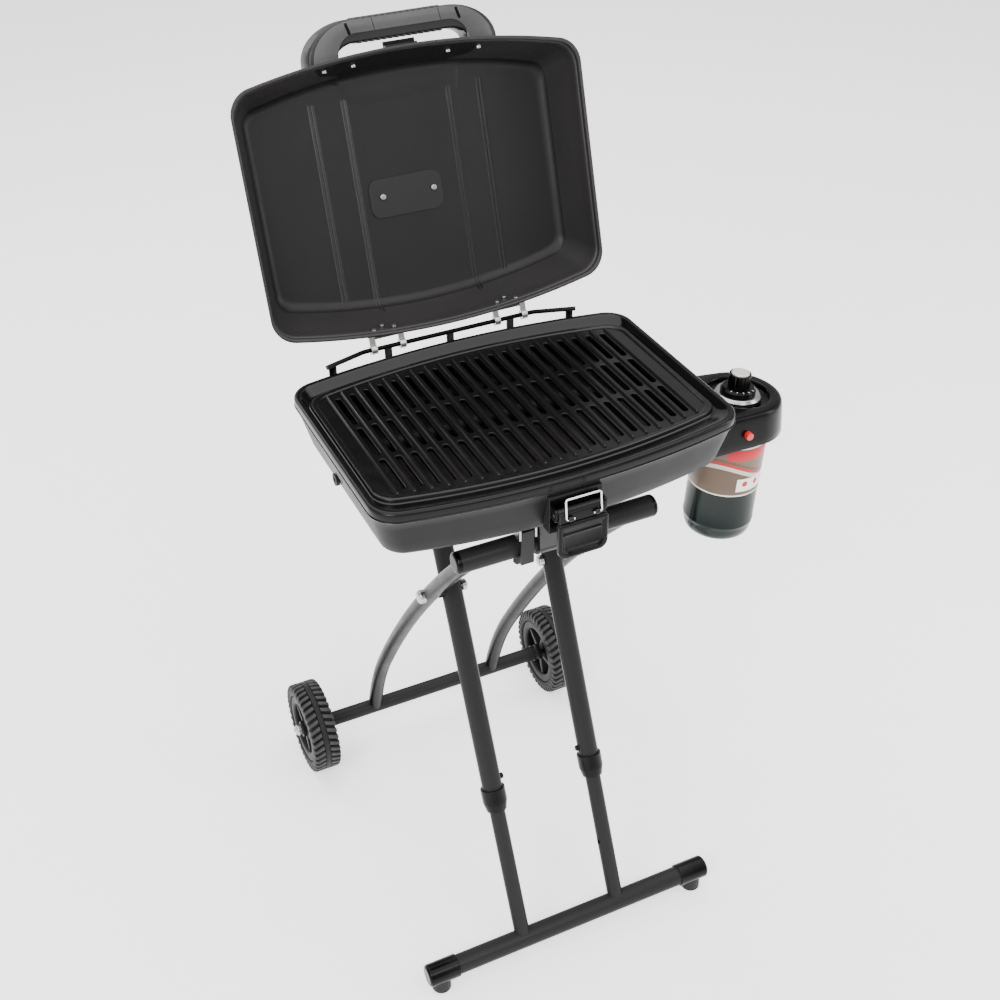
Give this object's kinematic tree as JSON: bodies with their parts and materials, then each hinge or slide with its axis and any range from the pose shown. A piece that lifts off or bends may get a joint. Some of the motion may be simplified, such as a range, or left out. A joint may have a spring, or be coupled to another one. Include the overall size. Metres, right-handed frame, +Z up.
{
  "type": "folding camp grill",
  "caption": "Gas grill pan with a hinged lid and side regulator arm on a wheeled, crossed-leg folding stand with telescopic legs.",
  "frame": {"origin": "middle of the bounding box's base, on the ground", "axes": "+Z up, -Y the front with the latch and the foot bar, +X the side with the gas cylinder"},
  "size_m": [0.6052, 0.6046, 1.2068],
  "materials": {
    "satin_grey_enamel": "satin",
    "black_enamel": "satin",
    "black_powder_coat": "gloss",
    "grey_powder_coat": "semi gloss",
    "cast_grate": "enamelled, gloss",
    "black_plastic": "moulded",
    "grey_plastic": "moulded",
    "wheel_plastic": "moulded",
    "tread": "moulded",
    "rubber": "matt",
    "red_plastic": "moulded",
    "silver_plastic": "satin",
    "steel": "brushed",
    "bright_wire": "polished",
    "brass_parts": "machined",
    "green_enamel": "gloss",
    "label_film": "printed film"
  },
  "bodies": {
    "pan": {"pan": "satin_grey_enamel", "rim_band": "black_enamel", "inner_frame": "black_enamel", "drip_tray": "black_enamel", "burner_tube": "steel", "burner_supports": "steel", "venturi_tube": "steel", "pan_grommet": "rubber", "back_rail": "black_powder_coat", "rail_tabs": "steel", "latch_base": "black_plastic", "latch_pin": "steel", "bar_bracket": "grey_powder_coat", "hook_mount": "steel", "leg_saddles": "steel", "gas_shroud": "black_plastic", "regulator_body": "brass_parts", "regulator_disc": "steel", "valve_stem": "brass_parts", "igniter_body": "black_plastic"},
    "lid": {"lid_shell": "black_enamel", "badge_plate": "black_enamel", "lid_screws": "steel", "hinge_brackets": "steel", "hinge_rivets": "steel", "lid_catch": "steel", "handle_casing": "black_plastic", "handle_face": "grey_plastic"},
    "grate": {"grate": "cast_grate"},
    "latch_lever": {"latch_lever": "black_plastic"},
    "wire_bail": {"wire_bail": "bright_wire"},
    "stand_hook": {"stand_hook": "black_plastic"},
    "control_knob": {"control_knob": "black_plastic", "knob_cap": "silver_plastic"},
    "igniter_button": {"igniter_button": "red_plastic"},
    "gas_cylinder": {"cylinder_can": "green_enamel", "cylinder_label": "label_film", "cylinder_neck": "brass_parts"},
    "leg_frame_b": {"arched_legs": "grey_powder_coat", "cross_bar": "black_powder_coat", "bar_caps": "black_plastic", "axle_tube": "black_powder_coat", "axle_plugs": "black_plastic", "axle_rod": "steel", "cap_nuts": "steel", "pivot_bolts": "steel"},
    "leg_frame_a": {"upper_legs": "black_powder_coat", "top_cross_tube": "black_powder_coat", "leg_collars": "black_plastic", "pivot_spacers": "black_plastic"},
    "lower_leg_frame": {"lower_legs": "black_powder_coat", "foot_bar": "black_powder_coat", "foot_caps": "black_plastic", "foot_pads": "rubber"},
    "snap_button_left": {"snap_button_left": "black_plastic"},
    "snap_button_right": {"snap_button_right": "black_plastic"},
    "wheel_left": {"wheel_tyre_left": "tread", "wheel_hub_left": "wheel_plastic"},
    "wheel_right": {"wheel_tyre_right": "tread", "wheel_hub_right": "wheel_plastic"}
  },
  "joints": [
    {"name": "lid_hinge", "type": "hinge", "parent": "pan", "child": "lid", "pos_m": [-0.05664, 0.0908, 0.822], "axis": [1, 0, 0], "range_deg": [0, 106.7]},
    {"name": "grate_lift", "type": "slide", "parent": "pan", "child": "grate", "axis": [0, 0, 1], "range_m": [0, 0.022]},
    {"name": "latch_pivot", "type": "hinge", "parent": "pan", "child": "latch_lever", "pos_m": [-0.05664, -0.2882, 0.779], "axis": [1, 0, 0], "range_deg": [-100, 0]},
    {"name": "bail_pivot", "type": "hinge", "parent": "latch_lever", "child": "wire_bail", "pos_m": [-0.05664, -0.2997, 0.777], "axis": [1, 0, 0], "range_deg": [0, 120]},
    {"name": "hook_pivot", "type": "hinge", "parent": "pan", "child": "stand_hook", "pos_m": [-0.05664, -0.2395, 0.727], "axis": [1, 0, 0], "range_deg": [-50, 0], "stiffness_Nm_per_rad": 0.5},
    {"name": "knob_turn", "type": "hinge", "parent": "pan", "child": "control_knob", "pos_m": [0.24336, -0.1452, 0.775], "axis": [0.0785, 0, 0.9969], "range_deg": [0, 270]},
    {"name": "igniter_press", "type": "slide", "parent": "pan", "child": "igniter_button", "axis": [0, 1, 0], "range_m": [0, 0.004], "stiffness_N_per_m": 400},
    {"name": "cylinder_unscrew", "type": "slide", "parent": "pan", "child": "gas_cylinder", "axis": [-0.0785, 0, -0.9969], "range_m": [0, 0.05]},
    {"name": "stand_fold", "type": "hinge", "parent": "pan", "child": "leg_frame_b", "pos_m": [-0.05664, -0.2192, 0.696], "axis": [1, 0, 0], "range_deg": [0, 45]},
    {"name": "leg_cross", "type": "hinge", "parent": "leg_frame_b", "child": "leg_frame_a", "pos_m": [-0.05664, -0.0602, 0.524], "axis": [1, 0, 0], "range_deg": [-103, 0]},
    {"name": "leg_extension", "type": "slide", "parent": "leg_frame_a", "child": "lower_leg_frame", "axis": [0, 0.3999, 0.9166], "range_m": [0, 0.15]},
    {"name": "button_left_press", "type": "slide", "parent": "leg_frame_a", "child": "snap_button_left", "axis": [-1, 0, 0], "range_m": [0, 0.0025], "stiffness_N_per_m": 800},
    {"name": "button_right_press", "type": "slide", "parent": "leg_frame_a", "child": "snap_button_right", "axis": [1, 0, 0], "range_m": [0, 0.0025], "stiffness_N_per_m": 800},
    {"name": "wheel_left_spin", "type": "hinge", "parent": "leg_frame_b", "child": "wheel_left", "pos_m": [-0.27214, 0.2278, 0.0745], "axis": [1, 0, 0], "continuous": true},
    {"name": "wheel_right_spin", "type": "hinge", "parent": "leg_frame_b", "child": "wheel_right", "pos_m": [0.15886, 0.2278, 0.0745], "axis": [1, 0, 0], "continuous": true}
  ],
  "couplings": [
    {"joint": "leg_cross", "follows": "stand_fold", "ratio": -2.2889},
    {"joint": "bail_pivot", "follows": "latch_pivot", "ratio": -1}
  ]
}
